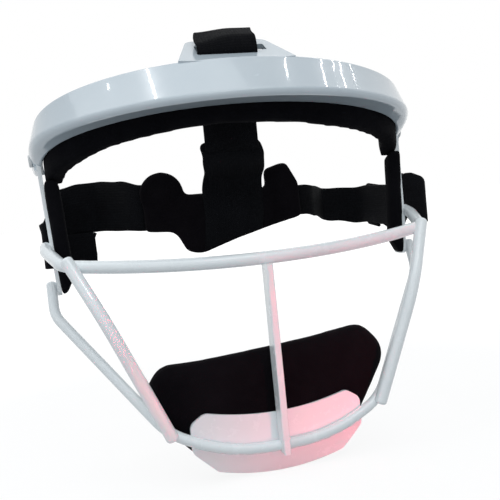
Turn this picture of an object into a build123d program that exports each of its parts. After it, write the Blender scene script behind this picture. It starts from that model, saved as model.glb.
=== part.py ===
from build123d import *
import os
from math import acos, cos, degrees, hypot, radians, sin, sqrt, tan

# A softball face guard: a glossy moulded brow band, a white wire guard welded to
# two side plates, foam pads, and an elastic harness that closes behind the head.
# Millimetres. +X is to the right of someone facing the guard, +Y is backward,
# through the head, and +Z is up. The origin is the middle of the head opening,
# halfway between the side plates, level with the ends of the upper rail.

os.makedirs("parts", exist_ok=True)

# Fits between neighbours
soft_gap = 0.3          # between a soft piece and what it lies on
overrun = 60.0          # how far a cutting solid runs past the piece

# Side plates, flat strips that carry the rails and lean out towards their tops
plate_inner = 92.8      # from the middle to the inner face, level with the origin
plate_thickness = 2.0
plate_lean = 3.0
plate_front = 5.0
plate_front_top = 5.0   # below the origin, where its front edge starts to slope back
plate_back = 9.5
plate_bottom = 24.0
plate_foot = 5.0        # length of its sloping foot
plate_corner = 2.5
neck_front = 1.0        # behind the origin
neck_rise = 8.5         # how far it reaches up past the shell's crest

# Side strap webbing, and the slots in the plates for it
strap_width = 25.0
strap_thickness = 1.6
slot_height = 1.5       # level of its middle
slot_side_gap = 1.0     # above and below the strap
slot_front = 2.0
slot_width = 4.0

# Round bars
bar_dia = 6.0
lower_bar_dia = 5.0
bar_end_round = 1.6
weld_sink = 1.0         # depth of the flat where the upper rail is seated on a plate

# Upper rail, in a plane that tips down towards the front
rail_tilt = 15.0
rail_slot_gap = 1.5     # from its ends to the slots
rail_straight = 8.0     # where the ends start to bend inward, ahead of the origin
rail_corner_in = 7.0
rail_corner_front = 32.5
rail_front = 53.0
rail_end_bend = 16.0
rail_corner_bend = 12.0

# Lower rail
upright_sink = 1.1      # of its ends into the plates
upright_lap = 7.0       # of its ends over the plates
upright_leg = 16.0      # height of its straight ends
upright_leg_front = 6.0
jaw_reach = 52.0
jaw_front = 46.0
jaw_drop = 89.0
chin_reach = 24.0
chin_forward = 4.3      # of the chin ahead of the jaw corners
chin_below = 12.5       # and below them
upright_bend = 14.0
jaw_bend = 30.0
chin_bend = 80.0

# Diagonal bars, from the upper rail's corners to the lower rail's
diagonal_top_in = 1.3
diagonal_top_forward = 3.6
diagonal_top_rise = 3.4
diagonal_knee_in = 14.5
diagonal_knee_fall = 30.0
diagonal_foot_in = 1.5
diagonal_foot_forward = 3.5
diagonal_foot_fall = 2.0
diagonal_bend = 60.0

# Centre bar, a flat bar set edge-on
centre_width = 3.3
centre_depth = 9.0
centre_top_back = 3.0   # of its back edge behind the upper rail's middle line
centre_foot_back = 2.1  # of its back edge behind the lower rail's middle line
centre_top_fall = 2.5   # of its top below the upper rail's middle line
centre_tail = 0.6       # how far its foot reaches below the lower rail
centre_corner = 0.8

# Chin plate, set by the lower rail that it is welded to
chin_plate_thickness = 2.0
chin_plate_radius = 330.0
chin_plate_rise = 19.3  # of its top edge above the rail
chin_plate_hang = 13.5  # of its bottom edge below the rail
chin_plate_dip = 4.0    # how far the middle of its top edge is cut down
chin_plate_reach = 42.0
chin_plate_shoulder = 4.8
chin_plate_shoulder_in = 7.0
chin_plate_foot = 10.5
chin_plate_foot_in = 11.0
chin_plate_belly = 4.5  # how far its bottom edge hangs in the middle
chin_plate_corner = 5.0
chin_plate_curl = 5.0   # how far the bottom edge curls back

# Chin pad
chin_pad_thickness = 11.0
chin_pad_radius = 220.0
chin_pad_rise = 44.0    # above the lower rail
chin_pad_hang = 7.5     # below the lower rail
chin_pad_past_jaw = 10.0
chin_pad_shoulder = 15.0
chin_pad_shoulder_in = 11.5
chin_pad_foot_in = 28.0
chin_pad_corner = 10.0
chin_pad_round = 4.6
chin_pad_curl_rise = 11.5
chin_pad_curl = 4.0
chin_pad_tilt = 4.0     # the pad sits a little askew: its right end is the higher one
curl_middle_share = 0.25

# Brow shell: three rims, seen from above as half ellipses, each on a plane that
# climbs towards the front
shell_wall = 2.6
shell_stand = 6.1       # of the crest outside the side plates
crest_depth = 63.0
crest_height = 44.5
crest_climb_share = 0.222
crest_round = 5.0
top_rim_in = 4.3        # of the top rim inside the crest, at the sides
top_rim_set_back = 18.0
top_rim_rise = 13.0
top_rim_climb_share = 0.47
lower_rim_in = 5.1
lower_rim_set_back = 21.5
lower_rim_fall = 4.7
lower_rim_climb_share = 0.445
shell_past_plate = 7.0  # how far the band's straight ends reach behind the plates
shell_end_fall = 8.5    # of the ends' level lower edges below the crest's height
shell_angles = (0, 12, 26, 42, 58, 74, 90, 106, 122, 138, 154, 168)
rivet_head_gap = 0.2    # round the rivet heads
boss_inset = 0.5        # of the inner boss from the plate's edges
boss_half_height = 5.0

# Top strap's webbing, and the tab of the brow shell with the slot for it
top_strap_width = 28.0
tab_slot_side_gap = 3.0
tab_shift = 1.5         # it stands a little to the left
tab_rail = 2.5          # beside the slot
tab_spread = 8.5        # how much wider each side of its root is
tab_root_in = 2.5       # from the top rim
tab_root_sink = 1.15
tab_lean = 31.0         # above the horizontal
tab_length = 26.0
tab_corner = 5.0
tab_slot_start = 10.5
tab_slot_width = 8.0

# Brow liner
liner_thickness = 9.5
liner_drop = 9.8        # how far it shows below the lower rim
liner_top_gap = 3.0
liner_angles = (0, 12, 26, 42, 58, 74, 90, 106, 122, 138, 154, 168, 180)

# Side pads
side_pad_thickness = 7.0
side_pad_forward = 2.5  # of the plate's front edge
side_pad_slot_gap = 0.8
side_pad_foot_rise = 0.5
side_pad_taper = 7.5    # height of its sloping foot
side_pad_foot = 2.5     # thickness at its foot
side_pad_round = 1.0

# Rivets that hold the shell to the plates
rivet_dia = 3.0
rivet_fit = 0.05        # round it in its holes
rivet_head_dia = 6.4
rivet_head_height = 1.5
rivet_head_sink = 2.0   # of the flat that the head sits on
rivet_tail_dia = 5.0
rivet_tail_height = 0.9
rivet_round = 0.8

# Rear pad of the harness, which hangs a little to the left
rear_pad_front = 14.0
rear_pad_thickness = 6.0
rear_pad_reach = 46.0
rear_pad_top = 21.0
rear_pad_side_low = 2.0
rear_pad_right_in = 5.0 # its right side is nearer the middle
ear_in = 10.5           # of the left ear's middle from the pad's side
ear_radius = 12.0
ear_top = 33.5
flap_width = 18.0       # of the right ear, a flap that is higher on its outer side
flap_inner_rise = 9.5
flap_outer_rise = 12.4
flap_outer_in = 6.0
flap_corner = 2.5

# The lower edge of the rear pad sags into a lobe: its points are shares of the pad's
# reach and of the lobe's depth, and its bends are shares of that depth
lobe_depth = 13.0
lobe_shares = ((-0.65, 0.0), (-0.52, -0.85), (-0.35, -1.0), (0.13, -0.5), (0.74, 0.04))
lobe_bend_shares = (0.46, 0.31, 0.38, 1.54, 1.54)

# Side straps, seen from above
sewn_length = 14.0      # of a strap on the back of the rear pad
strap_lead = 4.0        # from the pad's side to the strap's first bend
strap_back_run = 23.0   # across, behind the head
strap_split = 11.0      # inward from its lane, where it starts to slope to its slot
strap_outer_bend = 12.0
strap_run_bend = 10.0
strap_back_bend = 4.0
strap_slot_bend = 1.4
loop_depth = 8.0        # of the loop outside the plate
loop_bend = 3.4
loop_run = 7.0          # from the loop back to where it meets the strap
loop_join_bend = 3.0
return_length = 4.5     # of the end that lies on the strap
left_loop_reach = 4.5
right_loop_reach = 19.0
left_strap_height = 16.5
right_strap_height = 6.0

# Hook tabs that close the straps
side_tab_length = 16.0
top_tab_length = 12.8
tab_gap = 0.5
hook_tab_corner = 3.0

# Loose tail of the left strap
tail_lead = 3.0
tail_straight = 2.0
tail_top = 3.0
tail_bottom = 17.0      # below the origin

# Top strap, seen from the side
top_strap_front = 8.6   # of its hanging part, ahead of the origin
strap_slot_shift = 1.1  # it lies to the left in its slot
top_strap_lap = 12.0    # over the tongue
top_strap_hang = 13.0   # above the tongue
top_strap_back = 22.0
top_strap_fall = 17.0   # of its straight back
crown_rise = 2.0        # above the middle of the tab's bar
crown_bend = 7.0
top_strap_bend = 8.0
top_loop_bend = 2.4
top_return = 3.0        # of the returned ply, behind its last bend
top_join_back = 10.5    # of the returned end, behind the middle of the tab's bar

# The loop of the top strap round the tab's bar, along the tab and out from it, in
# shares of the slot's width
top_loop_shares = ((0.42, 0.84), (-1.0, 0.9), (-1.32, 0.36), (-0.85, -0.66))

# Tongue of the rear pad
tongue_width = 33.0
tongue_shift = 2.3      # to the right
tongue_low = 5.0        # below the origin
tongue_clear = 4.0      # of the pad's top edge
tongue_climb = 11.0
tongue_grip = 9.0       # under the top strap
tongue_bend = 8.0
tongue_corner = 4.0

# Bars
bar_radius = bar_dia / 2
lower_radius = lower_bar_dia / 2
plate_reach = plate_inner + plate_thickness
neck_top = crest_height + neck_rise
rail_plane = Plane.XY.rotated((rail_tilt, 0, 0))
rail_across = cos(radians(rail_tilt))
rail_down = sin(radians(rail_tilt))
rail_reach = plate_reach + bar_radius - weld_sink
rail_end_back = slot_front - rail_slot_gap
rail_corner_reach = rail_reach - rail_corner_in
upright_reach = plate_reach + lower_radius - upright_sink
upright_top = plate_bottom - upright_lap
upright_front = plate_front / 2
chin_front = jaw_front + chin_forward
chin_drop = jaw_drop + chin_below
diagonal_top_reach = rail_corner_reach - diagonal_top_in
diagonal_top_front = rail_corner_front * rail_across + diagonal_top_forward
diagonal_top_drop = rail_corner_front * rail_down - diagonal_top_rise
diagonal_foot_front = jaw_front + diagonal_foot_forward

# Chin plate and pad
chin_plate_top = chin_drop - chin_plate_rise
chin_plate_bottom = chin_drop + chin_plate_hang
chin_plate_foot_drop = chin_plate_bottom - chin_plate_belly
chin_pad_reach = jaw_reach + chin_pad_past_jaw
chin_pad_top = chin_drop - chin_pad_rise
chin_pad_bottom = chin_drop + chin_pad_hang

# Shell
crest_reach = plate_reach + shell_stand
top_rim_reach = crest_reach - top_rim_in
top_rim_depth = crest_depth - top_rim_set_back
top_rim_height = crest_height + top_rim_rise
lower_rim_reach = crest_reach - lower_rim_in
lower_rim_depth = crest_depth - lower_rim_set_back
lower_rim_height = crest_height - lower_rim_fall
shell_back = plate_back + shell_past_plate
rivet_back = (neck_front + plate_back) / 2
rivet_height = crest_height - crest_climb_share * rivet_back
tab_slot_length = top_strap_width + 2 * tab_slot_side_gap
tab_top_reach = tab_slot_length / 2 + tab_rail
tab_root_reach = tab_top_reach + tab_spread
tab_root_front = top_rim_depth - tab_root_in
tab_root_share = sqrt(1 - ((tab_root_reach + tab_shift) / top_rim_reach) ** 2)
tab_root_bow = top_rim_depth * (1 - tab_root_share) / cos(radians(tab_lean))
tab_root_height = top_rim_height + top_rim_climb_share * top_rim_depth - tab_root_sink

# Straps
ply = strap_thickness + soft_gap
slot_middle = slot_front + slot_width / 2
slot_low = strap_width / 2 + slot_side_gap + slot_width / 2 - slot_height
lane_inset = slot_low * tan(radians(plate_lean)) + soft_gap + strap_thickness / 2
strap_lane = plate_inner - lane_inset
strap_pad_reach = rear_pad_reach + strap_lead
strap_run_reach = strap_lane - strap_back_run
loop_back = slot_middle + loop_depth
loop_join = loop_back + loop_run
return_end = loop_join + return_length
side_tab_end = return_end + tab_gap + side_tab_length
strap_back = side_tab_end + strap_outer_bend
tongue_foot = rear_pad_top + tongue_clear
tongue_knee = tongue_foot + tongue_climb
tongue_top = tongue_knee + tongue_grip


def save(name, piece):
    """Label a finished piece and write its STEP file."""
    piece.part.label = name
    export_step(piece.part, f"parts/{name}.step")


def bar_profile(path, radius):
    """The round section of a bar, square to the start of its path."""
    with BuildSketch(Plane(origin=path @ 0, z_dir=path % 0)) as profile:
        Circle(radius)
    return profile.sketch


# The inner face of the right plate: X runs back along it and Y up it
plate_plane = Plane(
    origin=(plate_inner, 0, 0),
    x_dir=(0, 1, 0),
    z_dir=(cos(radians(plate_lean)), 0, -sin(radians(plate_lean))),
)


# Side plates
with BuildPart() as right_side_plate:
    with BuildSketch(plate_plane) as plate_face:
        with BuildLine():
            Polyline(
                (neck_front, neck_top),
                (plate_back, neck_top),
                (plate_back, plate_foot - plate_bottom),
                (plate_back - plate_foot, -plate_bottom),
                (-plate_front, -plate_bottom),
                (-plate_front, -plate_front_top),
                close=True,
            )
        make_face()
        fillet(plate_face.vertices(), plate_corner)
        with Locations((slot_front + slot_width / 2, slot_height)):
            SlotOverall(
                strap_width + 2 * slot_side_gap + slot_width,
                slot_width,
                rotation=90,
                mode=Mode.SUBTRACT,
            )
        with Locations((rivet_back, rivet_height)):
            Circle(rivet_dia / 2 + rivet_fit, mode=Mode.SUBTRACT)
    extrude(amount=plate_thickness)

with BuildPart() as left_side_plate:
    mirror(right_side_plate.part, about=Plane.YZ)

# Upper rail
with BuildPart() as upper_rail:
    with BuildLine(rail_plane) as rail_path:
        for side in (1, -1):
            Polyline(
                (side * rail_reach, rail_end_back),
                (side * rail_reach, -rail_straight),
                (side * rail_corner_reach, -rail_corner_front),
            )
        ThreePointArc(
            (rail_corner_reach, -rail_corner_front),
            (0, -rail_front),
            (-rail_corner_reach, -rail_corner_front),
        )
        fillet(rail_path.vertices().group_by(Axis.Y)[0], rail_corner_bend)
        fillet(rail_path.vertices().group_by(Axis.Y)[-2], rail_end_bend)
    sweep(bar_profile(rail_path.wire(), bar_radius), path=rail_path.wire())
    fillet(upper_rail.faces().filter_by(GeomType.PLANE).edges(), bar_end_round)
    add(right_side_plate.part, mode=Mode.SUBTRACT)
    add(left_side_plate.part, mode=Mode.SUBTRACT)

# Lower rail
jaw_points = (
    (upright_reach, -upright_front, -upright_top),
    (upright_reach, -upright_front - upright_leg_front, -upright_top - upright_leg),
    (jaw_reach, -jaw_front, -jaw_drop),
    (chin_reach, -chin_front, -chin_drop),
)
jaw_bends = (upright_bend, jaw_bend, chin_bend)
with BuildPart() as lower_rail:
    with BuildLine() as jaw_path:
        FilletPolyline(
            *jaw_points,
            *[(-x, y, z) for x, y, z in reversed(jaw_points)],
            radius=jaw_bends + jaw_bends[::-1],
        )
    sweep(bar_profile(jaw_path.wire(), lower_radius), path=jaw_path.wire())
    fillet(lower_rail.faces().filter_by(GeomType.PLANE).edges(), bar_end_round)
    add(right_side_plate.part, mode=Mode.SUBTRACT)
    add(left_side_plate.part, mode=Mode.SUBTRACT)

# Diagonal bars, lapped on the front of both rails
with BuildPart() as right_diagonal_bar:
    with BuildLine() as diagonal_path:
        FilletPolyline(
            (diagonal_top_reach, -diagonal_top_front, -diagonal_top_drop),
            (
                diagonal_top_reach - diagonal_knee_in,
                -diagonal_foot_front,
                -diagonal_top_drop - diagonal_knee_fall,
            ),
            (jaw_reach - diagonal_foot_in, -diagonal_foot_front, -jaw_drop - diagonal_foot_fall),
            radius=diagonal_bend,
        )
    sweep(bar_profile(diagonal_path.wire(), bar_radius), path=diagonal_path.wire())
    fillet(right_diagonal_bar.faces().filter_by(GeomType.PLANE).edges(), bar_end_round)
    add(upper_rail.part, mode=Mode.SUBTRACT)
    add(lower_rail.part, mode=Mode.SUBTRACT)

with BuildPart() as left_diagonal_bar:
    mirror(right_diagonal_bar.part, about=Plane.YZ)

# Centre bar, coped to the upper rail and notched over the lower one
centre_top = Vector(centre_top_back - rail_front * rail_across, 0)
centre_top.Y = -rail_front * rail_down - centre_top_fall
centre_foot = Vector(centre_foot_back - chin_front, -chin_drop - lower_radius - centre_tail)
centre_forward = Vector(-centre_depth, 0)
with BuildPart() as centre_bar:
    with BuildSketch(Plane.YZ) as centre_side:
        with BuildLine():
            Polyline(
                centre_top,
                centre_top + centre_forward,
                centre_foot + centre_forward,
                centre_foot,
                close=True,
            )
        make_face()
    extrude(amount=centre_width / 2, both=True)
    fillet(centre_bar.edges().group_by(SortBy.LENGTH)[-1], centre_corner)
    add(upper_rail.part, mode=Mode.SUBTRACT)
    add(lower_rail.part, mode=Mode.SUBTRACT)


def chin_band(front, thickness, radius, reach, top, curl_drop, curl, bottom, outline):
    """A curved sheet across the chin, its lower edge curled back, cut to an outline."""
    middle = (curl_drop + bottom) / 2
    with BuildPart() as band:
        with BuildSketch(Plane.YZ):
            with BuildLine():
                Polyline((-front, -curl_drop), (-front, -top), (thickness - front, -top))
                Line((thickness - front, -top), (thickness - front, -curl_drop))
                ThreePointArc(
                    (thickness - front, -curl_drop),
                    (thickness - front + curl * curl_middle_share, -middle),
                    (thickness - front + curl, -bottom),
                )
                Line((thickness - front + curl, -bottom), (curl - front, -bottom))
                ThreePointArc(
                    (curl - front, -bottom),
                    (curl * curl_middle_share - front, -middle),
                    (-front, -curl_drop),
                )
            make_face()
        half_turn = degrees((reach + overrun) / radius)
        revolve(axis=Axis((0, radius - front, 0), (0, 0, 1)), revolution_arc=half_turn)
        mirror(about=Plane.YZ)
        with BuildSketch(Plane.XZ):
            add(outline)
        extrude(amount=overrun * 2, mode=Mode.INTERSECT)
    return band.part


# Chin plate, seated on the back of the lower rail
chin_plate_top_reach = chin_plate_reach - chin_plate_shoulder_in
chin_plate_foot_reach = chin_plate_reach - chin_plate_foot_in
with BuildSketch() as chin_plate_outline:
    with BuildLine():
        chin_side = Polyline(
            (chin_plate_top_reach, -chin_plate_top),
            (chin_plate_reach, -chin_plate_top - chin_plate_shoulder),
            (chin_plate_reach, chin_plate_foot - chin_plate_foot_drop),
            (chin_plate_foot_reach, -chin_plate_foot_drop),
        )
        mirror(chin_side, about=Plane.YZ)
        ThreePointArc(
            (chin_plate_top_reach, -chin_plate_top),
            (0, -chin_plate_top - chin_plate_dip),
            (-chin_plate_top_reach, -chin_plate_top),
        )
        ThreePointArc(
            (chin_plate_foot_reach, -chin_plate_foot_drop),
            (0, -chin_plate_bottom),
            (-chin_plate_foot_reach, -chin_plate_foot_drop),
        )
    make_face()
    fillet(chin_plate_outline.vertices(), chin_plate_corner)
with BuildPart() as chin_plate:
    add(
        chin_band(
            chin_front - lower_radius,
            chin_plate_thickness,
            chin_plate_radius,
            chin_plate_reach,
            chin_plate_top - chin_plate_corner,
            chin_drop + lower_radius,
            chin_plate_curl,
            chin_plate_bottom + chin_plate_corner,
            chin_plate_outline.sketch,
        )
    )
    add(lower_rail.part, mode=Mode.SUBTRACT)

# Chin pad, a foam cup glued to the back of the chin plate
with BuildSketch() as chin_pad_outline:
    with BuildLine():
        chin_pad_side = Polyline(
            (0, -chin_pad_top),
            (chin_pad_reach - chin_pad_shoulder_in, -chin_pad_top),
            (chin_pad_reach, -chin_pad_top - chin_pad_shoulder),
            (chin_pad_reach - chin_pad_foot_in, -chin_pad_bottom),
            (0, -chin_pad_bottom),
        )
        mirror(chin_pad_side, about=Plane.YZ)
    make_face()
    chin_pad_corners = [v for v in chin_pad_outline.vertices() if abs(v.X) > chin_pad_corner]
    fillet(chin_pad_corners, chin_pad_corner)
chin_pad_pivot = Axis((0, -(chin_pad_top + chin_pad_bottom) / 2, 0), (0, 0, 1))
with BuildPart() as chin_pad:
    add(
        chin_band(
            chin_front - lower_radius - chin_plate_thickness - soft_gap,
            chin_pad_thickness,
            chin_pad_radius,
            chin_pad_reach,
            chin_pad_top - chin_pad_corner,
            chin_drop - chin_pad_curl_rise,
            chin_pad_curl,
            chin_pad_bottom + chin_pad_corner,
            chin_pad_outline.sketch.rotate(chin_pad_pivot, chin_pad_tilt),
        )
    )
    fillet(chin_pad.edges(), chin_pad_round)


def rim(angle, back, reach, depth, height, climb_share):
    """A rim's distance out and height, at an angle round the band from its right end."""
    out = 1 / hypot(cos(angle) / reach, sin(angle) / depth)
    return Vector(out, height + climb_share * (out * sin(angle) - back))


def band_plane(angle, back):
    """An upright plane through the head's axis, with its X axis pointing out."""
    return Plane(
        origin=(0, back, 0),
        x_dir=(cos(angle), -sin(angle), 0),
        z_dir=(-sin(angle), -cos(angle), 0),
    )


def band_rims(angle, back):
    top = rim(angle, back, top_rim_reach, top_rim_depth, top_rim_height, top_rim_climb_share)
    crest = rim(angle, back, crest_reach, crest_depth, crest_height, crest_climb_share)
    low = rim(
        angle, back, lower_rim_reach, lower_rim_depth, lower_rim_height, lower_rim_climb_share
    )
    return top, crest, low


def shell_section(degrees_round, back=0):
    """The band's section: a wall, a rounded crest and a lip turned in under it."""
    angle = radians(degrees_round)
    top, crest, low = band_rims(angle, back)
    up = (top - crest).normalized()
    under = (low - crest).normalized()
    inward = (up + under).normalized()
    half = acos(up.dot(inward))
    bend_start = crest + up * crest_round
    bend_end = crest + under * crest_round
    bend_middle = crest + inward * (crest_round * (1 / cos(half) - tan(half)))
    wall_side = up.rotate(Axis.Z, 90) * shell_wall
    lip_side = under.rotate(Axis.Z, -90) * shell_wall
    corner = crest + inward * (shell_wall / sin(half))
    with BuildSketch(band_plane(angle, back)) as section:
        with BuildLine():
            Line(top, bend_start)
            ThreePointArc(bend_start, bend_middle, bend_end)
            Line(bend_end, low)
            ThreePointArc(low, low + lip_side / 2 + under * shell_wall / 2, low + lip_side)
            Polyline(low + lip_side, corner, top + wall_side)
            ThreePointArc(top + wall_side, top + wall_side / 2 + up * shell_wall / 2, top)
        make_face()
    return section.sketch


# The tab's own axes, seen from the side: along it, up and back, and out from its face
tab_along = Vector(cos(radians(tab_lean)), sin(radians(tab_lean)))
tab_out = Vector(-sin(radians(tab_lean)), cos(radians(tab_lean)))
tab_root = Vector(-tab_root_front, tab_root_height)
tab_plane = Plane(
    origin=(-tab_shift, tab_root.X, tab_root.Y),
    x_dir=(1, 0, 0),
    z_dir=(0, tab_out.X, tab_out.Y),
)
with BuildPart() as tab_form:
    with BuildSketch(tab_plane) as tab_outline:
        with BuildLine():
            ThreePointArc(
                (-tab_root_reach, tab_root_bow - shell_wall),
                (0, -shell_wall),
                (tab_root_reach, tab_root_bow - shell_wall),
            )
            Polyline(
                (tab_root_reach, tab_root_bow - shell_wall),
                (tab_top_reach, tab_length),
                (-tab_top_reach, tab_length),
                (-tab_root_reach, tab_root_bow - shell_wall),
            )
        make_face()
        fillet(tab_outline.vertices().group_by(Axis.Y)[-1], tab_corner)
        with Locations((0, tab_slot_start + tab_slot_width / 2)):
            Rectangle(tab_slot_length, tab_slot_width, mode=Mode.SUBTRACT)
    extrude(amount=shell_wall / 2, both=True)

# Rivets, one through each end of the shell, square to the plate
plate_shift = rivet_height * tan(radians(plate_lean))
rivet_length = crest_reach - rivet_head_sink - plate_inner - plate_shift
rivet_spot = Location((rivet_back, rivet_height))
with BuildPart() as right_rivet:
    with BuildSketch(plate_plane):
        with Locations(rivet_spot):
            Circle(rivet_dia / 2)
    extrude(amount=rivet_length)
    with BuildSketch(plate_plane.offset(rivet_length)):
        with Locations(rivet_spot):
            Circle(rivet_head_dia / 2)
    extrude(amount=rivet_head_height)
    fillet(right_rivet.faces().sort_by(Axis.X)[-1].edges(), rivet_round)
    with BuildSketch(plate_plane):
        with Locations(rivet_spot):
            Circle(rivet_tail_dia / 2)
    extrude(amount=-rivet_tail_height)
    fillet(right_rivet.faces().sort_by(Axis.X)[0].edges(), rivet_tail_height / 2)
with BuildPart() as shell_rivets:
    add(right_rivet.part)
    mirror(right_rivet.part, about=Plane.YZ)
with BuildPart() as right_rivet_hole:
    with BuildSketch(plate_plane):
        with Locations(rivet_spot):
            Circle(rivet_dia / 2 + rivet_fit)
    extrude(amount=overrun)
    with BuildSketch(plate_plane.offset(rivet_length)):
        with Locations(rivet_spot):
            Circle(rivet_head_dia / 2 + rivet_head_gap)
    extrude(amount=overrun)

with BuildPart() as right_boss:
    with BuildSketch(plate_plane.offset(plate_thickness)):
        with Locations(rivet_spot):
            Rectangle(plate_back - neck_front - 2 * boss_inset, 2 * boss_half_height)
    extrude(amount=crest_reach - shell_wall - plate_reach - plate_shift)

half_circle = 180
with BuildPart() as brow_shell:
    stations = [shell_section(0, shell_back)]
    stations += [shell_section(step) for step in shell_angles]
    stations += [shell_section(half_circle), shell_section(half_circle, shell_back)]
    loft(stations)
    split(bisect_by=Plane.XY.offset(crest_height - shell_end_fall), keep=Keep.TOP)
    add(tab_form.part)
    for side_piece, mode in (
        (right_boss, Mode.ADD),
        (right_side_plate, Mode.SUBTRACT),
        (right_rivet_hole, Mode.SUBTRACT),
    ):
        add(side_piece.part, mode=mode)
        mirror(side_piece.part, about=Plane.YZ, mode=mode)


def liner_section(degrees_round):
    """Foam that fills the band behind its lip and shows below it."""
    angle = radians(degrees_round)
    top, crest, low = band_rims(angle, 0)
    under = (low - crest).normalized()
    lip_side = under.rotate(Axis.Z, -90) * shell_wall
    lip_end = low + lip_side / 2 + under * shell_wall / 2
    face = min((low + lip_side).X, lip_end.X) - soft_gap
    head_face = face - liner_thickness
    lip_top = (low + lip_side).Y + soft_gap
    wall_face = top.X - shell_wall * 2
    with BuildSketch(band_plane(angle, 0)) as section:
        with BuildLine():
            Polyline(
                (face, low.Y - liner_drop),
                (face, lip_top),
                (wall_face, top.Y - liner_top_gap),
                (head_face, top.Y - liner_top_gap),
                (head_face, low.Y - liner_drop),
                close=True,
            )
        make_face()
    return section.sketch


with BuildPart() as brow_liner:
    loft([liner_section(step) for step in liner_angles])

# Side pads, whose feet slope up from the plate
pad_plane = Plane(origin=plate_plane.origin, x_dir=-plate_plane.z_dir, z_dir=(0, 1, 0))
side_pad_front = plate_front + side_pad_forward
side_pad_back = slot_front - side_pad_slot_gap
side_pad_bottom = plate_bottom - side_pad_foot_rise
side_pad_top = lower_rim_height - liner_drop - soft_gap
under_liner = Plane(origin=(0, 0, side_pad_top), z_dir=(0, lower_rim_climb_share, 1))
with BuildPart() as right_side_pad:
    with BuildSketch(pad_plane.offset(-side_pad_front)):
        with BuildLine():
            Polyline(
                (0, crest_height),
                (side_pad_thickness, crest_height),
                (side_pad_thickness, side_pad_taper - side_pad_bottom),
                (side_pad_foot, -side_pad_bottom),
                (0, -side_pad_bottom),
                close=True,
            )
        make_face()
    extrude(amount=side_pad_back + side_pad_front)
    split(bisect_by=under_liner, keep=Keep.BOTTOM)
    on_plate = right_side_pad.faces().sort_by(Axis.X)[-1].edges()
    fillet([edge for edge in right_side_pad.edges() if edge not in on_plate], side_pad_round)

with BuildPart() as left_side_pad:
    mirror(right_side_pad.part, about=Plane.YZ)

# Rear pad: a round left ear, a flap for the right one, and a lower lobe
rear_pad_right = rear_pad_reach - rear_pad_right_in
with BuildSketch() as flap:
    with BuildLine():
        Polyline(
            (rear_pad_right - flap_width, rear_pad_side_low),
            (rear_pad_right - flap_width, rear_pad_top + flap_inner_rise),
            (rear_pad_right - flap_outer_in, rear_pad_top + flap_outer_rise),
            (rear_pad_right, rear_pad_top),
            (rear_pad_right, rear_pad_side_low),
            close=True,
        )
    make_face()
    fillet(flap.vertices().sort_by(Axis.Y)[-2:], flap_corner)
with BuildPart() as rear_pad:
    with BuildSketch(Plane.XZ.offset(-rear_pad_front)) as rear_outline:
        with BuildLine():
            Polyline(
                (rear_pad_right, rear_pad_side_low),
                (rear_pad_right, rear_pad_top),
                (-rear_pad_reach, rear_pad_top),
                (-rear_pad_reach, rear_pad_side_low),
            )
            FilletPolyline(
                (-rear_pad_reach, rear_pad_side_low),
                *[(x * rear_pad_reach, y * lobe_depth) for x, y in lobe_shares],
                (rear_pad_right, rear_pad_side_low),
                radius=[share * lobe_depth for share in lobe_bend_shares],
            )
        make_face()
        with Locations((ear_in - rear_pad_reach, ear_top - ear_radius)):
            Circle(ear_radius)
        add(flap.sketch)
    extrude(amount=-rear_pad_thickness)

# Tongue of the rear pad, sewn on its front face
tongue_face = rear_pad_front - strap_thickness / 2
tongue_front = top_strap_front - ply
with BuildPart() as rear_pad_tongue:
    with BuildSketch(Plane.YZ.offset(tongue_shift)):
        with BuildLine() as tongue_path:
            FilletPolyline(
                (tongue_face, -tongue_low),
                (tongue_face, tongue_foot),
                (-tongue_front, tongue_knee),
                (-tongue_front, tongue_top),
                radius=tongue_bend,
            )
        trace(line_width=strap_thickness)
    extrude(amount=tongue_width / 2, both=True)
    fillet(rear_pad_tongue.edges().filter_by(Axis.Y), tongue_corner)


# Side straps, from the rear pad through the slots in the plates and back
def side_strap_points(side, reach):
    """The strap's middle line from above, from the rear pad out round the plate's bar."""
    sewn_face = rear_pad_front + rear_pad_thickness + soft_gap + strap_thickness / 2
    points = (
        (rear_pad_reach - sewn_length, sewn_face),
        (strap_pad_reach, sewn_face),
        (strap_run_reach, strap_back),
        (strap_lane, strap_back),
        (strap_lane, slot_middle),
        (plate_reach + reach, slot_middle),
        (plate_reach + reach, loop_back),
        (strap_lane + ply, loop_join),
        (strap_lane + ply, return_end),
    )
    return [(side * x, y) for x, y in points]


strap_bends = (
    strap_run_bend,
    strap_back_bend,
    strap_outer_bend,
    strap_slot_bend,
    loop_bend,
    loop_bend,
    loop_join_bend,
)


def side_strap(side, reach, height):
    """A flat strap on edge, level behind the head, that slopes down to its slot."""
    half = strap_width / 2
    split = strap_lane - strap_split
    with BuildPart() as band:
        with BuildSketch(Plane.YZ.offset(side * split)):
            with BuildLine():
                Polyline(
                    (-overrun, slot_height - half),
                    (loop_back, slot_height - half),
                    (strap_back, height - half),
                    (strap_back + overrun, height - half),
                    (strap_back + overrun, height + half),
                    (strap_back, height + half),
                    (loop_back, slot_height + half),
                    (-overrun, slot_height + half),
                    close=True,
                )
            make_face()
        extrude(amount=side * overrun)
        with BuildSketch(Plane.XY.offset(height - half)):
            with Locations((side * (split - overrun), 0)):
                Rectangle(2 * overrun, 4 * overrun)
        extrude(amount=strap_width)
    with BuildPart() as strap:
        with BuildSketch(Plane.XY.offset(-overrun)):
            with BuildLine():
                FilletPolyline(*side_strap_points(side, reach), radius=strap_bends)
            trace(line_width=strap_thickness)
        extrude(amount=2 * overrun)
        add(band.part, mode=Mode.INTERSECT)
    return strap.part


with BuildPart() as right_side_strap:
    add(side_strap(1, right_loop_reach, right_strap_height))

with BuildPart() as left_side_strap:
    add(side_strap(-1, left_loop_reach, left_strap_height))


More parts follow.
